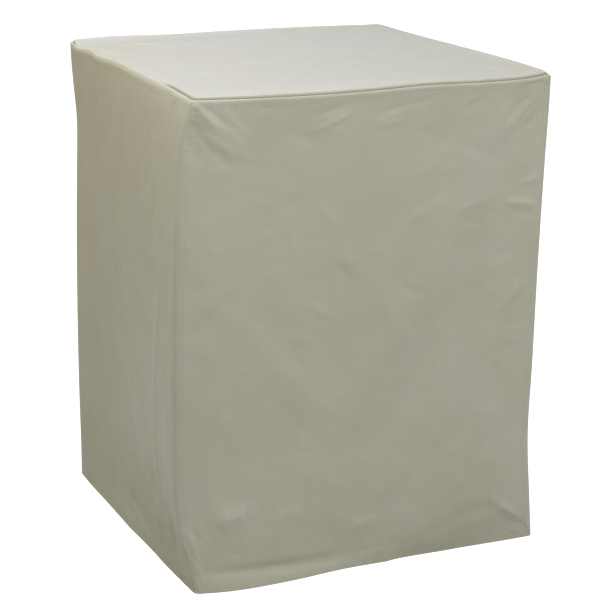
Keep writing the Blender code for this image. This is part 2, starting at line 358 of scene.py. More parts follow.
def fold_relief(rows: tuple[Row, ...], along: Array, drop: Array, steps: int = 14) -> Array:
    """The height of a sheet's folds at places on it.

    Formula: each fold is a curve of the second degree through its three points. Its height is a
    bell of the distance to the nearest of the curve's short straight pieces, times a taper that
    is the 0.6th power of a half sine from the curve's start to its end.

    Args:
        rows: the folds, in millimetres.
        along: distance along the wall from its left seam, in metres.
        drop: distance down from the top seam, in metres.
        steps: how many straight pieces a fold's curve is cut into.

    Returns:
        The height in metres, outwards where it is positive.
    """
    total = np.zeros_like(along)
    t = np.linspace(0, 1, steps + 1)
    for x0, y0, x1, y1, x2, y2, width, height in rows:
        bend_x, bend_y = 2 * x1 - (x0 + x2) / 2, 2 * y1 - (y0 + y2) / 2
        path_x = ((1 - t) ** 2 * x0 + 2 * t * (1 - t) * bend_x + t**2 * x2) * MM
        path_y = ((1 - t) ** 2 * y0 + 2 * t * (1 - t) * bend_y + t**2 * y2) * MM
        reach = 2.6 * width * MM
        near = (along > path_x.min() - reach) & (along < path_x.max() + reach)
        near &= (drop > path_y.min() - reach) & (drop < path_y.max() + reach)
        here_x, here_y = along[near][:, None], drop[near][:, None]
        step_x, step_y = np.diff(path_x), np.diff(path_y)
        share = (here_x - path_x[:-1]) * step_x + (here_y - path_y[:-1]) * step_y
        share = np.clip(share / (step_x**2 + step_y**2), 0, 1)
        off_x = here_x - path_x[:-1] - share * step_x
        off_y = here_y - path_y[:-1] - share * step_y
        distance = np.hypot(off_x, off_y)
        nearest = distance.argmin(axis=1)[:, None]
        place = (nearest + np.take_along_axis(share, nearest, 1))[:, 0] / steps
        taper = np.sin(math.pi * np.clip(place, 0, 1)) ** 0.6
        total[near] += height * MM * taper * bell(distance.min(axis=1), width * MM)
    return total


# The cut and how it is sewn

class Side(Enum):
    """A wall's side of the cover, as quarter turns from the front seen from above."""

    FRONT = 0
    RIGHT = 1
    BACK = 2
    LEFT = 3

    @property
    def turn(self) -> complex:
        """The quarter turns as a complex number, for places in plan."""
        return 1j**self.value


class Hold(Enum):
    """How a sheet is held up."""

    LAID = "laid"
    HUNG = "hung"


@dataclass(frozen=True)
class Spacing:
    """How close the lines of a sheet's grid stand: fine by its edges, even in its middle."""

    edge: tuple[tuple[float, float], ...]
    middle: float

    def shares(self, length: float) -> Array:
        """Shares of a length, from 0 to 1, the same from both ends.

        Args:
            length: the length that is divided, in metres.
        """
        places = [0.0]
        for reach, step in self.edge:
            count = max(1, round((reach - places[-1]) / step))
            places.extend(np.linspace(places[-1], reach, count + 1)[1:])
        near = np.array(places)
        count = round((length - 2 * near[-1]) / self.middle)
        inner = np.linspace(near[-1], length - near[-1], count + 1)[1:-1]
        return np.concatenate([near, inner, (length - near)[::-1]]) / length


@dataclass(frozen=True)
class UprightSeam:
    """One of the four upright seams: the corner that it is at, and how it wanders down its length."""

    to_right: int
    to_back: int
    levels: tuple[Row, ...]

    def shift(self, down: Array) -> tuple[Array, Array]:
        """The shift in plan, as complex numbers, and upwards, at shares of the drop."""
        right, back, up = through_rows(self.levels, down) * MM
        return right + 1j * back, up


@dataclass(frozen=True)
class Felling:
    """Sizes of the felled seams and the turned hem."""

    band: float = 0.016
    ply: float = 0.0004
    step: float = 0.0026
    groove: float = 0.0028
    groove_width: float = 0.0015
    line_in: float = 0.0028
    line_depth: float = 0.0003
    line_width: float = 0.0016
    pucker: float = 0.00035
    pucker_pitch: float = 0.0125
    hem: float = 0.027
    hem_ply: float = 0.0010
    roping: float = 0.0003
    roping_pitch: float = 0.0135

    def valley(self, distance: Array) -> Array:
        """How deep the cloth dips at a distance from the top seam, where it turns in to it."""
        return self.groove * bell(distance, self.groove_width)

    def crevice_shade(self, distance: Array) -> Array:
        """Painted shade: how far the colour darkens at a distance from the seam, for its groove."""
        return 1 - rise_between(0.35 * self.groove_width, 1.2 * self.groove_width, distance)

    def band_relief(self, distance: Array, place: Array) -> Array:
        """Height of a felled band beside a seam.

        Formula: one ply more up to the band's edge, less a narrow dip at the stitch line, plus
        ripples along that line whose phase wanders slowly, all faded out at the seam itself.

        Args:
            distance: distance from the seam.
            place: distance along the seam.
        """
        line = self.band - self.line_in
        wander = 1.4 * np.sin(place / 0.047) + 0.9 * np.sin(place / 0.021 + 1.3)
        swell = 0.6 + 0.4 * np.sin(place / 0.083 + 0.7)
        ripple = swell * np.sin(2 * math.pi * place / self.pucker_pitch + wander)
        relief = self.ply * (1 - rise_between(self.band, self.band + self.step, distance))
        relief = relief - self.line_depth * bell(distance - line, self.line_width)
        relief = relief + self.pucker * ripple * bell(distance - line, 0.011)
        return relief * rise_between(0, 2 * self.groove_width, distance)

    def hem_relief(self, height: Array, place: Array) -> Array:
        """Height of the turned hem above the wall's cloth.

        Formula: the turned plies up to the hem's edge, less a dip at its stitch line, plus slanting
        ripples inside the hem, as the feed of the sewing twists it.

        Args:
            height: distance up from the hem's lower edge.
            place: distance along the hem.
        """
        line = self.hem - self.line_in
        inside = 1 - rise_between(self.hem, self.hem + self.step, height)
        wander = 1.3 * np.sin(place / 0.061) + 0.8 * np.sin(place / 0.027 + 2.0)
        swell = 0.55 + 0.45 * np.sin(place / 0.097 + 0.4)
        slant = 2 * math.pi * (place + 0.9 * height) / self.roping_pitch + wander
        relief = self.hem_ply * inside - self.line_depth * bell(height - line, self.line_width)
        relief = relief + self.roping * swell * np.sin(slant) * bell(height - 0.5 * self.hem, 0.014)
        return relief + self.pucker * np.sin(slant) * bell(height - line - 0.006, 0.008)


@dataclass(frozen=True)
class CoverForm:
    """The cover's own sizes, shared by all its sheets."""

    side: float = 0.711
    drop: float = 0.938
    sheet: float = 0.002
    crown: float = 0.004
    crown_reach: float = 0.055
    lip_inset: float = 0.0028
    lip_reach: float = 0.0075
    soft_reach: float = 0.013
    corner_reach: float = 0.018
    corner_rounding: float = 0.0015
    corner_softening: float = 0.002
    top_edge_reach: float = 0.09
    hem_reach: float = 0.08
    fold_margin: float = 0.008
    felling: Felling = Felling()
    lines: Spacing = Spacing(((0.004, 0.0008), (0.024, 0.0018), (0.12, 0.0034)), 0.0053)

    def rounding(self, down: Array) -> Array:
        """How far a seam is drawn in from its walls' planes, most halfway down."""
        return self.corner_rounding + self.corner_softening * np.sin(math.pi * down)

    def top_inset(self, down: Array) -> Array:
        """How far a wall is drawn in where it rolls over to the top seam and dips in to it."""
        drop = down * self.drop
        return felt(self.lip_inset, drop, self.lip_reach) + self.felling.valley(drop)

    def soft_inset(self, drop: Array) -> Array:
        """How far a wall is drawn in where it rolls over softly to the top seam."""
        return felt(self.lip_inset + self.felling.groove, drop, self.soft_reach)

    def seam_plan(self, seam: UprightSeam, down: Array) -> Array:
        """An upright seam's place in plan, as complex numbers, at shares of the drop."""
        half = self.side / 2 - self.top_inset(down) - self.rounding(down)
        return half * (seam.to_right + 1j * seam.to_back) + seam.shift(down)[0]


FORM = CoverForm()
SEAMS: dict[str, UprightSeam] = {
    "front_left": UprightSeam(-1, -1, FRONT_LEFT_SEAM),
    "front_right": UprightSeam(1, -1, FRONT_RIGHT_SEAM),
    "back_right": UprightSeam(1, 1, BACK_RIGHT_SEAM),
    "back_left": UprightSeam(-1, 1, BACK_LEFT_SEAM),
}


@dataclass(frozen=True)
class Crumple:
    """The small unevenness of coated cloth that was folded in a packet: dents and short creases."""

    seed: int
    dents: int = 90
    creases: int = 60
    dent_size: tuple[float, float] = (14, 46)
    dent_height: float = 1.3
    crease_length: tuple[float, float] = (26, 110)
    crease_width: tuple[float, float] = (4, 9)
    crease_height: float = 0.9

    def rows(self, width: float, length: float) -> tuple[Row, ...]:
        """Dents and creases as rows of a fold table, in millimetres, the same in every run.

        Args:
            width: the sheet's width, in millimetres.
            length: the sheet's length, in millimetres.
        """
        dice = np.random.default_rng(self.seed)
        count = self.dents + self.creases
        crease = np.arange(count) >= self.dents
        x, y = dice.uniform(10, width - 10, count), dice.uniform(10, length - 10, count)
        angle = dice.normal(math.pi / 2, 0.75, count)
        reach = np.where(
            crease, dice.uniform(*self.crease_length, count), dice.uniform(10, 40, count)
        )
        wide = np.where(
            crease, dice.uniform(*self.crease_width, count), dice.uniform(*self.dent_size, count)
        )
        tall = dice.choice((-1.0, 1.0), count) * dice.uniform(0.35, 1.0, count)
        tall = tall * np.where(crease, self.crease_height, self.dent_height)
        bend = dice.uniform(-0.16, 0.16, count) * reach
        run_x, run_y = np.cos(angle) * reach / 2, np.sin(angle) * reach / 2
        table = np.stack(
            [
                x - run_x, y - run_y, x - bend * np.sin(angle), y + bend * np.cos(angle),
                x + run_x, y + run_y, wide, tall,
            ],
            axis=1,
        )
        return tuple(map(tuple, table.tolist()))


# Meshes

def grid_mesh(name: str, points: Array, uv: Array, crevice_shade: Array) -> bpy.types.Mesh:
    """A mesh of four-sided faces over a grid of points.

    Formula: the vertices are the grid's points row by row, and a face joins each point to the next
    in its row and to the two above them. The rows run so that the faces point outwards.

    Args:
        name: the mesh's name.
        points: rows by columns by three.
        uv: the same grid's distances over the cloth in metres, rows by columns by two.
        crevice_shade: how much painted shade darkens each point's colour, from 0 to 1.

    Returns:
        The mesh, with its distances in the UV map "cloth" and its painted shade in the attribute
        "crevice".
    """
    rows, columns = points.shape[:2]
    index = np.arange(rows * columns).reshape(rows, columns)
    corners = np.stack([index[1:, :-1], index[1:, 1:], index[:-1, 1:], index[:-1, :-1]], axis=-1)
    corners = corners.reshape(-1, 4)
    mesh = bpy.data.meshes.new(name)
    mesh.vertices.add(rows * columns)
    mesh.vertices.foreach_set("co", points.reshape(-1))
    mesh.loops.add(corners.size)
    mesh.loops.foreach_set("vertex_index", corners.reshape(-1))
    mesh.polygons.add(len(corners))
    mesh.polygons.foreach_set("loop_start", np.arange(0, corners.size, 4))
    mesh.polygons.foreach_set("use_smooth", np.ones(len(corners), bool))
    mesh.update(calc_edges=True)
    layer = mesh.uv_layers.new(name="cloth")
    layer.data.foreach_set("uv", uv.reshape(-1, 2)[corners.reshape(-1)].reshape(-1))
    mesh.validate()
    # Painted shade for the seam's groove, which the material mixes into the colour.
    painted_shade = mesh.attributes.new("crevice_shade", "FLOAT", "POINT")
    painted_shade.data.foreach_set("value", crevice_shade.reshape(-1))
    return mesh


def add_piece(mesh: bpy.types.Mesh, finish: bpy.types.Material) -> bpy.types.Object:
    """An object at the origin for a finished mesh, with its material, riding on the cover."""
    piece = bpy.data.objects.new(mesh.name, mesh)
    bpy.context.scene.collection.objects.link(piece)
    mesh.materials.append(finish)
    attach(piece, "root")
    return piece


def report(piece: bpy.types.Object) -> None:
    """Reports a piece and how many faces it has before its modifiers."""
    log.info("%s: %d faces", piece.name, len(piece.data.polygons))


# Finishes

class Tree:
    """A node tree that is written from its inputs to its outputs, a call for each node."""

    def __init__(self, tree: bpy.types.NodeTree) -> None:
        """Keeps the tree that the nodes are added to."""
        self.tree = tree

    def add(self, kind: str, inputs: dict | None = None, **settings: object) -> bpy.types.Node:
        """Adds a node.

        Args:
            kind: the node's type.
            inputs: a value or another node's output for each of its inputs, by name or number.
            settings: the node's own properties.

        Returns:
            The node.
        """
        node = self.tree.nodes.new(kind)
        for key, value in settings.items():
            setattr(node, key, value)
        for key, value in (inputs or {}).items():
            if isinstance(value, bpy.types.NodeSocket):
                self.tree.links.new(value, node.inputs[key])
            else:
                node.inputs[key].default_value = value
        return node

    def math(self, operation: str, *values: object) -> bpy.types.NodeSocket:
        """A Math node's result."""
        return self.add("ShaderNodeMath", dict(enumerate(values)), operation=operation).outputs[0]

    def span(
        self, value: object, low: float, high: float, to_low: float, to_high: float
    ) -> bpy.types.NodeSocket:
        """A value moved smoothly from one range to another."""
        inputs = {0: value, 1: low, 2: high, 3: to_low, 4: to_high}
        node = self.add("ShaderNodeMapRange", inputs, interpolation_type="SMOOTHSTEP")
        return node.outputs[0]

    def mix(self, share: object, first: object, second: object) -> bpy.types.NodeSocket:
        """A mix of two colours."""
        inputs = {"Factor": share, 6: first, 7: second}
        node = self.add("ShaderNodeMix", inputs, data_type="RGBA", blend_type="MIX")
        return node.outputs[2]

    def noise(
        self, place: object, scale: float, detail: float, roughness: float = 0.5
    ) -> bpy.types.NodeSocket:
        """A noise's value over the surface."""
        inputs = {"Vector": place, "Scale": scale, "Detail": detail, "Roughness": roughness}
        return self.add("ShaderNodeTexNoise", inputs).outputs["Fac"]


def shared_group(name: str, inputs: dict[str, str], outputs: dict[str, str]) -> tuple:
    """A new node group with named sockets.

    Args:
        name: the group's name.
        inputs: socket types by name.
        outputs: socket types by name.

    Returns:
        The group, its Tree, its input node and its output node.
    """
    group = bpy.data.node_groups.new(name, "ShaderNodeTree")
    for label, kind in inputs.items():
        group.interface.new_socket(label, in_out="INPUT", socket_type=f"NodeSocket{kind}")
    for label, kind in outputs.items():
        group.interface.new_socket(label, in_out="OUTPUT", socket_type=f"NodeSocket{kind}")
    tree = Tree(group)
    return group, tree, tree.add("NodeGroupInput"), tree.add("NodeGroupOutput")


def weave_group() -> bpy.types.NodeTree:
    """Fine plain weave under a coating: a height that follows the cloth's threads.

    Formula: the product of two sine waves along and across the cloth, softened by a noise where
    the coating has filled the threads.
    """
    group, tree, given, result = shared_group(
        "coated_weave", {"Vector": "Vector", "Threads": "Float"}, {"Height": "Float"}
    )
    parts = tree.add("ShaderNodeSeparateXYZ", {0: given.outputs["Vector"]})
    waves = [
        tree.math("SINE", tree.math("MULTIPLY", parts.outputs[axis], given.outputs["Threads"]))
        for axis in range(2)
    ]
    filled = tree.noise(given.outputs["Vector"], 260.0, 2.0)
    woven = tree.math("MULTIPLY", waves[0], waves[1])
    height = tree.math("MULTIPLY", woven, tree.span(filled, 0.35, 0.7, 0.25, 1.0))
    tree.tree.links.new(height, result.inputs["Height"])
    return group


def mottle_group() -> bpy.types.NodeTree:
    """Slow changes of tone, as where the coating lies thicker or has been handled."""
    group, tree, given, result = shared_group(
        "cloth_mottle",
        {"Vector": "Vector", "Colour": "Color", "Deep": "Color", "Amount": "Float"},
        {"Colour": "Color", "Mask": "Float"},
    )
    broad = tree.noise(given.outputs["Vector"], 3.4, 2.0)
    close = tree.noise(given.outputs["Vector"], 16.0, 4.0, 0.55)
    both = tree.math("ADD", tree.math("MULTIPLY", broad, 0.6), tree.math("MULTIPLY", close, 0.4))
    mask = tree.span(both, 0.36, 0.64, 0.0, 1.0)
    share = tree.math("MULTIPLY", mask, given.outputs["Amount"])
    tone = tree.mix(share, given.outputs["Colour"], given.outputs["Deep"])
    tree.tree.links.new(tone, result.inputs["Colour"])
    tree.tree.links.new(mask, result.inputs["Mask"])
    return group


def crinkle_group() -> bpy.types.NodeTree:
    """Small soft facets of creased coated cloth, as a height for a Bump node.

    Formula: the smooth distance to the nearest of scattered points, its place stirred by a noise,
    plus a finer noise.
    """
    group, tree, given, result = shared_group(
        "cloth_crinkle", {"Vector": "Vector", "Scale": "Float"}, {"Height": "Float"}
    )
    stir = tree.add("ShaderNodeTexNoise", {"Vector": given.outputs["Vector"], "Scale": 9.0})
    moved = tree.add(
        "ShaderNodeVectorMath", {0: stir.outputs["Color"], 1: (0.06, 0.06, 0.06)},
        operation="MULTIPLY",
    )
    place = tree.add(
        "ShaderNodeVectorMath", {0: given.outputs["Vector"], 1: moved.outputs[0]}, operation="ADD"
    )
    facets = tree.add(
        "ShaderNodeTexVoronoi",
        {"Vector": place.outputs[0], "Scale": given.outputs["Scale"], "Smoothness": 0.6},
        feature="SMOOTH_F1",
    )
    fine = tree.noise(given.outputs["Vector"], 60.0, 3.0)
    height = tree.math(
        "ADD", tree.math("MULTIPLY", facets.outputs["Distance"], 0.8),
        tree.math("MULTIPLY", fine, 0.25),
    )
    tree.tree.links.new(height, result.inputs["Height"])
    return group


@dataclass(frozen=True)
class ClothFinish:
    """One face of the coated cloth."""

    name: str
    colour: tuple[float, float, float]
    deep: tuple[float, float, float]
    mottle: float
    roughness: tuple[float, float]
    crinkle: float
    weave: float
    sheen: float = 0.0
    threads: float = 5200.0
    # Painted shade: the dark colour that the seam's groove takes, and the most of it.
    shade: tuple[float, float, float] = (0.06, 0.055, 0.035)
    crevice_shade: float = 0.4

    def material(self, groups: dict[str, bpy.types.NodeTree]) -> bpy.types.Material:
        """The material of this face.

        Args:
            groups: the shared node groups by name.

        Returns:
            A Principled material with its tone, roughness and relief from the groups and painted
            shade.
        """
        material = bpy.data.materials.new(self.name)
        material.use_nodes = True
        tree = Tree(material.node_tree)
        shader = material.node_tree.nodes["Principled BSDF"]
        place = tree.add("ShaderNodeTexCoord").outputs["Object"]
        cloth = tree.add("ShaderNodeUVMap", uv_map="cloth").outputs["UV"]

        def group(name: str, inputs: dict) -> bpy.types.Node:
            """One of the shared groups, placed in this material."""
            return tree.add("ShaderNodeGroup", inputs, node_tree=groups[name])

        tone = group(
            "cloth_mottle",
            {
                "Vector": place, "Colour": (*self.colour, 1.0), "Deep": (*self.deep, 1.0),
                "Amount": self.mottle,
            },
        )
        weave = group("coated_weave", {"Vector": cloth, "Threads": self.threads})
        crinkle = group("cloth_crinkle", {"Vector": place, "Scale": 15.0})
        rough = tree.span(tone.outputs["Mask"], 0.0, 1.0, *self.roughness)
        creased = tree.add(
            "ShaderNodeBump",
            {"Strength": 1.0, "Distance": self.crinkle, "Height": crinkle.outputs["Height"]},
        )
        woven = tree.add(
            "ShaderNodeBump",
            {
                "Strength": 1.0, "Distance": self.weave, "Height": weave.outputs["Height"],
                "Normal": creased.outputs["Normal"],
            },
        )
        # Painted shade: the colour goes towards the shade colour in the seam's groove, where the
        # attribute marks it.
        painted_shade = tree.add("ShaderNodeAttribute", attribute_name="crevice_shade").outputs["Fac"]
        share = tree.math("MULTIPLY", painted_shade, self.crevice_shade)
        colour = tree.mix(share, tone.outputs["Colour"], (*self.shade, 1.0))
        tree.tree.links.new(colour, shader.inputs["Base Color"])
        tree.tree.links.new(rough, shader.inputs["Roughness"])
        tree.tree.links.new(woven.outputs["Normal"], shader.inputs["Normal"])
        shader.inputs["Metallic"].default_value = 0.0
        shader.inputs["Specular IOR Level"].default_value = 0.4
        shader.inputs["Sheen Weight"].default_value = self.sheen
        shader.inputs["Sheen Roughness"].default_value = 0.5
        return material


@dataclass(frozen=True)
class ThreadFinish:
    """Sewing thread in the cloth's colour."""

    name: str = "sewing_thread"
    colour: tuple[float, float, float] = (0.40, 0.385, 0.305)
    deep: tuple[float, float, float] = (0.33, 0.32, 0.25)
    roughness: float = 0.6
    mottle: float = 0.8

    def material(self, groups: dict[str, bpy.types.NodeTree]) -> bpy.types.Material:
        """The thread's material, its tone from the shared mottle.

        Args:
            groups: the shared node groups by name.
        """
        material = bpy.data.materials.new(self.name)
        material.use_nodes = True
        tree = Tree(material.node_tree)
        shader = material.node_tree.nodes["Principled BSDF"]
        place = tree.add("ShaderNodeTexCoord").outputs["Object"]
        tone = tree.add(
            "ShaderNodeGroup",
            {
                "Vector": place, "Colour": (*self.colour, 1.0), "Deep": (*self.deep, 1.0),
                "Amount": self.mottle,
            },
            node_tree=groups["cloth_mottle"],
        )
        tree.tree.links.new(tone.outputs["Colour"], shader.inputs["Base Color"])
        shader.inputs["Roughness"].default_value = self.roughness
        return material


@dataclass
class Finishes:
    """The cover's finishes, each made into a material once."""

    outside: ClothFinish = ClothFinish(
        "coated_cloth", (0.455, 0.444, 0.345), (0.432, 0.422, 0.306), 0.9,
        (0.50, 0.60), 0.0016, 0.00004, 0.08,
    )
    inside: ClothFinish = ClothFinish(
        "cloth_inside", (0.40, 0.39, 0.33), (0.35, 0.34, 0.285), 0.6,
        (0.75, 0.85), 0.0006, 0.00012,
    )
    thread: ThreadFinish = ThreadFinish()
    made: dict[str, bpy.types.Material] = field(default_factory=dict)

    def make(self) -> None:
        """Builds the shared node groups and then the materials."""
        groups = {g.name: g for g in (weave_group(), mottle_group(), crinkle_group())}
        for finish in (self.outside, self.inside, self.thread):
            self.made[finish.name] = finish.material(groups)
            log.info("finish %s", finish.name)


# Sheets

@dataclass
class WallSheet:
    """A wall of the cover: one sheet that hangs from the top seam between two upright seams."""

    name: str
    node: str
    side: Side
    left: str
    right: str
    left_reach: float
    right_reach: float
    top_edge: tuple[Row, ...]
    hem_edge: tuple[Row, ...]
    folds: tuple[Row, ...]
    creases: tuple[Row, ...]
    crumple: Crumple
    felled_ends: bool
    soft_roll: tuple[float, float] = (0.0, 0.0)
    form: CoverForm = FORM
    thickness: float = 0.0011
    flat: tuple[float, float] = (0.743, 0.981)
    points: Array = field(default_factory=lambda: np.zeros((0, 0, 3)))

    def surface(self, across: Array, down: Array) -> Array:
        """Outer face of the wall.

        Formula: a place's plan is its share of the way between the two seams along the wall, and
        out from the middle by half the cover's side, less what the seams and the top roll draw
        in, plus the top edge's, hem's, folds', bands' and dents' heights. Its height is the drop,
        with the seams' and edges' rises.

        Args:
            across: shares from the left seam to the right one, seen from outside.
            down: shares from the top seam to the hem.

        Returns:
            Points in metres, with a last axis of three.
        """
        form, felling, turn = self.form, self.form.felling, self.side.turn
        left = form.seam_plan(SEAMS[self.left], down) / turn
        right = form.seam_plan(SEAMS[self.right], down) / turn
        along = left.real + (right.real - left.real) * across
        from_left, from_right = along - left.real, right.real - along
        drop = down * form.drop
        margin = form.fold_margin
        fade = rise_between(0, margin, from_left) * rise_between(0, margin, from_right)
        fade_down = fade * rise_between(0, margin, drop)

        left_shift, left_up = SEAMS[self.left].shift(down)
        right_shift, right_up = SEAMS[self.right].shift(down)
        rounding = form.rounding(down)
        out = form.side / 2 - form.top_inset(down)
        out = out - felt(rounding, from_left, form.corner_reach)
        out = out - felt(rounding, from_right, form.corner_reach)
        out = out - felt((left_shift / turn).imag, from_left, self.left_reach)
        out = out - felt((right_shift / turn).imag, from_right, self.right_reach)

        out = out + self.rolled(from_left, drop) * (form.top_inset(down) - form.soft_inset(drop))

        top_out, top_rise = through_rows(self.top_edge, across) * MM
        hem_out, hem_rise = through_rows(self.hem_edge, across) * MM
        out = out + felt(top_out, drop, form.top_edge_reach)
        out = out + felt(hem_out, form.drop - drop, form.hem_reach)
        out = out + fade_down * rise_between(0, margin, form.drop - drop) * fold_relief(
            self.folds, from_left, drop
        )
        small = self.creases + self.crumple.rows(form.side / MM, form.drop / MM)
        out = out + fade_down * fold_relief(small, from_left, drop)
        out = out + self.sewn_relief(from_left, from_right, drop)

        plan = (along - 1j * out) * turn
        height = form.sheet - form.crown - drop + (1 - across) * left_up + across * right_up
        height = height + felt(top_rise, drop, form.top_edge_reach) + hem_rise * down
        height = height - 0.6 * felling.valley(drop)
        return np.stack([plan.real, plan.imag, height], axis=-1)

    def rolled(self, from_left: Array, drop: Array) -> Array:
        """Share of the wall's top that rolls over softly, without a groove beside the seam.

        Formula: a smooth rise after the roll's start and a smooth fall after its end.

        Args:
            from_left: distance along the wall from its left seam.
            drop: distance down from the top seam, for the shape of the result.

        Returns:
            0 beside a groove and 1 on the soft roll.
        """
        start, end = self.soft_roll
        if end <= start:
            return np.zeros_like(drop + from_left)
        share = rise_between(start, start + 0.03, from_left)
        return share * (1 - rise_between(end, end + 0.08, from_left))

    def sewn_relief(self, from_left: Array, from_right: Array, drop: Array) -> Array:
        """Height of the felled bands and the hem, faded out at the upright seams."""
        form, felling = self.form, self.form.felling
        ends = rise_between(0, 0.006, from_left) * rise_between(0, 0.006, from_right)
        relief = felling.band_relief(drop, from_left)
        relief = relief + felling.hem_relief(form.drop - drop, from_left)
        if self.felled_ends:
            relief = relief + felling.band_relief(from_left, drop)
            relief = relief + felling.band_relief(from_right, drop)
        return relief * ends

    def build(self) -> bpy.types.Mesh:
        """Works out the wall's grid and returns its mesh."""
        form = self.form
        shares, levels = form.lines.shares(form.side), form.lines.shares(form.drop)
        across, down = np.meshgrid(shares, levels)
        self.points = self.surface(across, down)
        uv = np.stack([across * form.side, (1 - down) * form.drop], axis=-1)
        drop = down * form.drop
        # Painted shade by the top seam's groove, none where the wall rolls over softly.
        open_part = 1 - self.rolled(across * form.side, drop)
        return grid_mesh(self.name, self.points, uv, form.felling.crevice_shade(drop) * open_part)

    def dress(self, mesh: bpy.types.Mesh, finishes: Finishes) -> bpy.types.Object:
        """Args:
            mesh: the wall's outer face.
            finishes: the cover's materials.

        Returns:
            The sheet's object.
        """
        piece = add_piece(mesh, finishes.made["coated_cloth"])
        thicken(piece, self.thickness, finishes)
        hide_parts(self.node)
        report(piece)
        return piece

    def line_across(self, drop: float, pitch: float) -> tuple[Array, Array]:
        """Shares across and down of a level stitch line's stitches."""
        count = round((self.form.side - 0.012) / pitch)
        across = np.linspace(0.006, self.form.side - 0.006, count) / self.form.side
        return across, np.full(count, drop / self.form.drop)

    def line_down(self, from_left: float, pitch: float) -> tuple[Array, Array]:
        """Shares across and down of an upright stitch line's stitches."""
        count = round((self.form.drop - 0.024) / pitch)
        down = np.linspace(0.020, self.form.drop - 0.004, count) / self.form.drop
        return np.full(count, from_left / self.form.side), down


def thicken(piece: bpy.types.Object, thickness: float, finishes: Finishes) -> None:
    """Gives a sheet its thickness behind its outer face, with the plainer finish inside.

    Args:
        piece: the sheet.
        thickness: in metres.
        finishes: the cover's materials.
    """
    piece.data.materials.append(finishes.made["cloth_inside"])
    solid = piece.modifiers.new("thickness", "SOLIDIFY")
    solid.thickness = thickness
    solid.offset = -1
    solid.use_even_offset = False
    solid.material_offset = 1
    solid.material_offset_rim = 0


@dataclass
class TopSheet:
    """The top panel: one sheet that lies flat and meets the four walls at the top seam."""

    walls: tuple[WallSheet, ...]
    name: str = "top_sheet"
    node: str = "top_panel"
    form: CoverForm = FORM
    crumple: Crumple = Crumple(41, dents=60, creases=26, dent_height=0.5, crease_height=0.35)
    slack: tuple[Row, ...] = (
        (110, 640, 250, 600, 420, 590, 34, 1.2),
        (300, 480, 420, 440, 560, 450, 40, 1.0),
        (90, 300, 160, 220, 280, 170, 34, 1.0),
        (520, 240, 600, 180, 660, 90, 26, 1.0),
        (30, 40, 70, 90, 130, 130, 14, 1.4),
        (660, 40, 630, 80, 590, 110, 13, 1.3),
        (60, 660, 110, 620, 170, 600, 14, 1.3),
        (640, 665, 600, 630, 560, 610, 14, 1.2),
        (240, 28, 330, 34, 420, 28, 12, -0.9),
    )
    thickness: float = 0.0011
    flat: tuple[float, float] = (0.743, 0.743)

    def surface(self) -> tuple[Array, Array, Array]:
        """Upper face of the top panel.

        Formula: the four walls' top edges are filled by the sum of the two ways between opposite
        edges, less the bilinear patch of the corners. Inside the edges the height goes over to
        the panel's level, and at the edges it dips in to the seam.

        Returns:
            The points, their distances over the cloth and how much painted shade their colour takes
            by the seam's groove.
        """
        form, felling = self.form, self.form.felling
        front, right, back, left = (wall.points[0] for wall in self.walls)
        back, left = back[::-1], left[::-1]
        share = form.lines.shares(form.side)
        s, t = np.meshgrid(share, share)
        inset = form.side * np.minimum(np.minimum(s, 1 - s), np.minimum(t, 1 - t))
        x, y = s * form.side, t * form.side
        s, t = s[..., None], t[..., None]
        edges = (1 - t) * front[None] + t * back[None] + (1 - s) * left[:, None] + s * right[:, None]
        corners = (1 - s) * (1 - t) * front[0] + s * (1 - t) * front[-1]
        corners = corners + (1 - s) * t * back[0] + s * t * back[-1]
        points = edges - corners

        soft = [
            wall.rolled(along, np.zeros_like(along))
            for wall, along in zip(self.walls, (x, y, form.side - x, form.side - y))
        ]
        nearness = [bell(away, 0.012) for away in (y, form.side - x, form.side - y, x)]
        rolled = sum(share * near for share, near in zip(soft, nearness))
        dip = 1.6 * felling.groove * (1 - np.clip(rolled, 0, 1))
        flat = 1 - (1 - np.clip(inset / form.crown_reach, 0, 1)) ** 2
        level = (points[..., 2] + dip) * (1 - flat) + form.sheet * flat
        small = self.slack + self.crumple.rows(form.side / MM, form.side / MM)
        relief = fold_relief(small, x, y) * rise_between(0, form.fold_margin, inset)
        points[..., 2] = level - dip * bell(inset, felling.groove_width) + relief
        # Painted shade by the seam's groove, none where a wall rolls over softly.
        painted_shade = felling.crevice_shade(inset) * (1 - np.clip(rolled, 0, 1))
        return points, np.stack([x, y], axis=-1), painted_shade

    def build(self) -> bpy.types.Mesh:
        """Works out the panel's grid and returns its mesh."""
        points, uv, painted_shade = self.surface()
        return grid_mesh(self.name, points[::-1], uv[::-1], painted_shade[::-1])

    def dress(self, mesh: bpy.types.Mesh, finishes: Finishes) -> bpy.types.Object:
        """Gives the sheet its thickness and its two faces.

        Args:
            mesh: the panel's upper face.
            finishes: the cover's materials.

        Returns:
            The sheet's object.
        """
        piece = add_piece(mesh, finishes.made["coated_cloth"])
        thicken(piece, self.thickness, finishes)
        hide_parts(self.node)
        report(piece)
        return piece


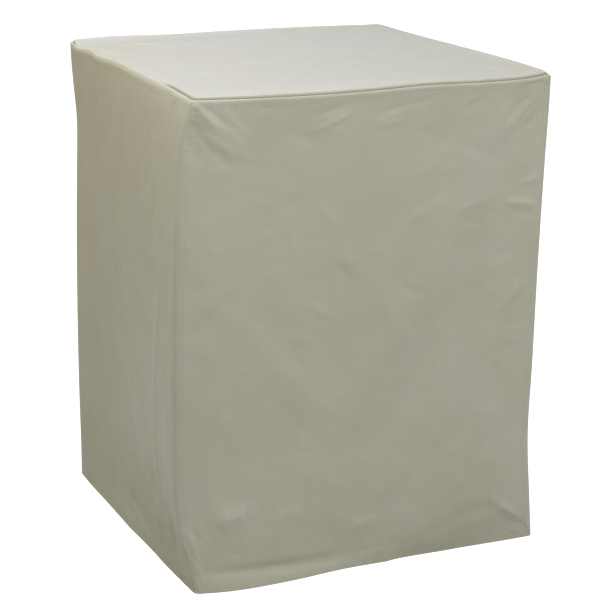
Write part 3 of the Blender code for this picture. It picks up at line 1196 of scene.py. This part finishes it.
@dataclass
class Stitching:
    """A wall's rows of stitches: under the top seam, on the hem and down its felled ends."""

    wall: WallSheet
    pitch: float = 0.0038
    length: float = 0.0029
    width: float = 0.00075
    sunk: float = 0.0001
    sides: int = 5

    def lines(self) -> list[tuple[Array, Array, bool]]:
        """Each stitch line's shares across and down the wall, and whether it runs downwards."""
        wall, felling = self.wall, self.wall.form.felling
        inner = felling.band - felling.line_in
        hem = wall.form.drop - felling.hem + felling.line_in
        lines = [(*wall.line_across(level, self.pitch), False) for level in (inner, hem)]
        if wall.felled_ends:
            for place in (inner, wall.form.side - inner):
                lines.append((*wall.line_down(place, self.pitch), True))
        return lines

    def build(self) -> bpy.types.Mesh:
        """The mesh of all the wall's stitches.

        Formula: a stitch is a spindle whose rings are at its length's 15, 50 and 85 hundredths.
        It is carried to each place on the frame of the wall's surface there: along the line,
        across it and outwards.

        Returns:
            The mesh.
        """
        step = 0.0004
        frames = []
        for across, down, downwards in self.lines():
            here = self.wall.surface(across, down)
            beside = self.wall.surface(across + step, down) - here
            below = self.wall.surface(across, down + step) - here
            outward = unit(np.cross(below, beside))
            run = unit(below if downwards else beside)
            frames.append(np.stack([here, run, np.cross(outward, run), outward], axis=1))
        frames = np.concatenate(frames)
        stations = np.array([-0.5, -0.35, 0.0, 0.35, 0.5]) * self.length
        girth = np.array([0.0, 0.8, 1.0, 0.8, 0.0]) * self.width / 2
        angle = np.arange(self.sides) * 2 * math.pi / self.sides
        ring = np.stack(np.broadcast_arrays(
            stations[1:-1, None], girth[1:-1, None] * np.cos(angle), girth[1:-1, None] * np.sin(angle)
        ), axis=-1).reshape(-1, 3)
        local = np.concatenate([[[stations[0], 0, 0]], ring, [[stations[-1], 0, 0]]])
        local[:, 2] -= self.sunk
        points = frames[:, None, 0] + np.einsum("pk,skx->spx", local, frames[:, 1:])

        n = self.sides
        each, after = np.arange(n), (np.arange(n) + 1) % n
        walls = [
            np.stack([1 + k * n + each, 1 + (k + 1) * n + each, 1 + (k + 1) * n + after,
                      1 + k * n + after], axis=1)
            for k in range(2)
        ]
        last = len(local) - 1
        tips = np.concatenate([
            np.stack([np.zeros(n, int), 1 + each, 1 + after], axis=1),
            np.stack([np.full(n, last), 1 + 2 * n + after, 1 + 2 * n + each], axis=1),
        ])
        start = np.arange(len(frames))[:, None, None] * len(local)
        quads = (np.concatenate(walls)[None] + start).reshape(-1, 4)
        triangles = (tips[None] + start).reshape(-1, 3)
        mesh = bpy.data.meshes.new(self.wall.name.replace("sheet", "stitching"))
        mesh.from_pydata(points.reshape(-1, 3), [], quads.tolist() + triangles.tolist())
        mesh.shade_smooth()
        return mesh

    def dress(self, mesh: bpy.types.Mesh, finishes: Finishes) -> bpy.types.Object:
        """Puts the stitches on the cover in their thread.

        Args:
            mesh: the wall's stitches.
            finishes: the cover's materials.

        Returns:
            The stitches' object.
        """
        piece = add_piece(mesh, finishes.made["sewing_thread"])
        report(piece)
        return piece


@dataclass
class Cover:
    """The whole cover: four walls, the top panel and the stitching."""

    finishes: Finishes
    walls: tuple[WallSheet, ...] = (
        WallSheet(
            "front_sheet", "front_wall", Side.FRONT, "front_left", "front_right", 0.110, 0.060,
            FRONT_TOP_EDGE, FRONT_HEM, FRONT_FOLDS, FRONT_CREASES, Crumple(11), True,
        ),
        WallSheet(
            "right_sheet", "right_wall", Side.RIGHT, "front_right", "back_right", 0.400, 0.300,
            RIGHT_TOP_EDGE, RIGHT_HEM, RIGHT_FOLDS, RIGHT_CREASES, Crumple(12), False,
        ),
        WallSheet(
            "back_sheet", "back_wall", Side.BACK, "back_right", "back_left", 0.300, 0.300,
            BACK_TOP_EDGE, BACK_HEM, BACK_FOLDS, BACK_CREASES, Crumple(13), True,
        ),
        WallSheet(
            "left_sheet", "left_wall", Side.LEFT, "back_left", "front_left", 0.300, 0.620,
            LEFT_TOP_EDGE, LEFT_HEM, LEFT_FOLDS, LEFT_CREASES, Crumple(14), False, (0.01, 0.52),
        ),
    )

    def build(self) -> None:
        sheets = [wall.dress(wall.build(), self.finishes) for wall in self.walls]
        top = TopSheet(self.walls)
        top_piece = top.dress(top.build(), self.finishes)
        for wall, sheet in zip(self.walls, sheets):
            stitching = Stitching(wall)
            stitches = stitching.dress(stitching.build(), self.finishes)


# The studio

@dataclass(frozen=True)
class SoftBox:
    """A large soft lamp that looks at a point."""

    name: str
    place: tuple[float, float, float]
    aim: tuple[float, float, float]
    size: tuple[float, float]
    power: float
    colour: tuple[float, float, float] = (1.0, 1.0, 1.0)

    def hang(self) -> None:
        """Adds the lamp to the scene."""
        lamp = bpy.data.lights.new(self.name, "AREA")
        lamp.shape = "RECTANGLE"
        lamp.size, lamp.size_y = self.size
        lamp.energy = self.power
        lamp.color = self.colour
        light = bpy.data.objects.new(self.name, lamp)
        bpy.context.scene.collection.objects.link(light)
        light.location = self.place
        light.rotation_mode = "QUATERNION"
        direction = Vector(self.aim) - Vector(self.place)
        light.rotation_quaternion = direction.to_track_quat("-Z", "Y")


@dataclass
class Studio:
    """A pale floor, soft light and the camera."""

    floor_level: float = -0.9462
    floor_size: float = 60.0
    floor_tone: tuple[float, float, float] = (0.6, 0.6, 0.6)
    floor_glow: float = 1.35
    floor_share: float = 0.9
    sky: tuple[float, float, float] = (1.0, 1.0, 1.0)
    sky_strength: float = 0.07
    lamps: tuple[SoftBox, ...] = (
        SoftBox(
            "lamp_above", (0.2, -0.3, 2.6), (0.0, 0.0, 0.0), (2.4, 2.4), 66.0, (0.84, 0.86, 1.0)
        ),
        SoftBox(
            "lamp_behind", (0.0, 2.2, 2.4), (0.0, 0.0, 0.0), (2.4, 2.0), 60.0, (0.54, 0.57, 1.0)
        ),
        SoftBox("lamp_right", (2.2, -3.0, 0.9), (0.2, -0.3, -0.3), (1.8, 1.8), 60.0),
        SoftBox("lamp_corner", (-1.3, -1.4, 0.9), (-0.3, -0.35, -0.15), (0.7, 0.7), 14.2),
        SoftBox("lamp_left", (-1.2, -0.3, 1.3), (-0.36, 0.0, -0.1), (0.6, 0.6), 6.8),
        SoftBox(
            "lamp_warm", (-1.6, 1.2, 1.2), (-0.36, 0.3, -0.1), (0.8, 0.8), 17.0, (1.0, 0.87, 0.42)
        ),
    )
    azimuth: float = -23.4
    elevation: float = 16.0
    roll: float = 0.18
    distance: float = 4.118
    target: tuple[float, float, float] = (0.0056, 0.0, -0.5001)
    lens: float = 120.84

    def lay_floor(self) -> None:
        """Lays a plain floor just under the hem."""
        half = self.floor_size / 2
        corners = np.array([(-half, -half), (half, -half), (half, half), (-half, half)])
        points = np.column_stack([corners, np.full(4, self.floor_level)])
        mesh = bpy.data.meshes.new("floor")
        mesh.from_pydata(points.tolist(), [], [(0, 1, 2, 3)])
        material = bpy.data.materials.new("floor_paint")
        material.use_nodes = True
        tree = Tree(material.node_tree)
        paint = material.node_tree.nodes["Principled BSDF"]
        paint.inputs["Base Color"].default_value = (*self.floor_tone, 1.0)
        paint.inputs["Roughness"].default_value = 1.0
        paint.inputs["Specular IOR Level"].default_value = 0.0
        glow = tree.add("ShaderNodeEmission", {"Strength": self.floor_glow})
        seen = tree.math("MULTIPLY", tree.add("ShaderNodeLightPath").outputs[0], self.floor_share)
        both = tree.add("ShaderNodeMixShader", {0: seen, 1: paint.outputs[0], 2: glow.outputs[0]})
        tree.tree.links.new(both.outputs[0], tree.tree.nodes["Material Output"].inputs["Surface"])
        mesh.materials.append(material)
        floor = bpy.data.objects.new("floor", mesh)
        bpy.context.scene.collection.objects.link(floor)

    def light(self) -> None:
        """Lights the scene from an even sky and the soft lamps."""
        world = bpy.data.worlds.new("sky")
        world.use_nodes = True
        tree = Tree(world.node_tree)
        seen = tree.add("ShaderNodeLightPath").outputs[0]
        strength = tree.add("ShaderNodeMapRange", {0: seen, 3: self.sky_strength, 4: 1.0})
        background = world.node_tree.nodes["Background"]
        background.inputs["Color"].default_value = (*self.sky, 1.0)
        tree.tree.links.new(strength.outputs[0], background.inputs["Strength"])
        bpy.context.scene.world = world
        for lamp in self.lamps:
            lamp.hang()
        bpy.context.scene.view_settings.view_transform = "Standard"

    def set_camera(self) -> None:
        """Sets the camera at its place, turned to the target and rolled a little."""
        turn, rise = math.radians(self.azimuth), math.radians(self.elevation)
        back = Vector((
            math.sin(turn) * math.cos(rise), -math.cos(turn) * math.cos(rise), math.sin(rise)
        ))
        right = (-back).cross(Vector((0, 0, 1))).normalized()
        up = right.cross(-back)
        roll = math.radians(self.roll)
        right, up = right * math.cos(roll) + up * math.sin(roll), (
            up * math.cos(roll) - right * math.sin(roll)
        )
        place = Vector(self.target) + back * self.distance
        lens = bpy.data.cameras.new("camera")
        lens.lens = self.lens
        lens.sensor_width = 36.0
        camera = bpy.data.objects.new("camera", lens)
        bpy.context.scene.collection.objects.link(camera)
        axes = Matrix((right, up, back)).transposed().to_4x4()
        camera.matrix_world = Matrix.Translation(place) @ axes
        bpy.context.scene.camera = camera

    def set_up(self) -> None:
        """Sets up the floor, the light and the camera."""
        self.lay_floor()
        self.light()
        self.set_camera()


def main() -> None:
    """Builds the finishes, the cover and the studio in order."""
    logging.basicConfig(level=logging.INFO, format="%(message)s")
    finishes = Finishes()
    finishes.make()
    Cover(finishes).build()
    Studio().set_up()


if __name__ == "__main__":
    main()
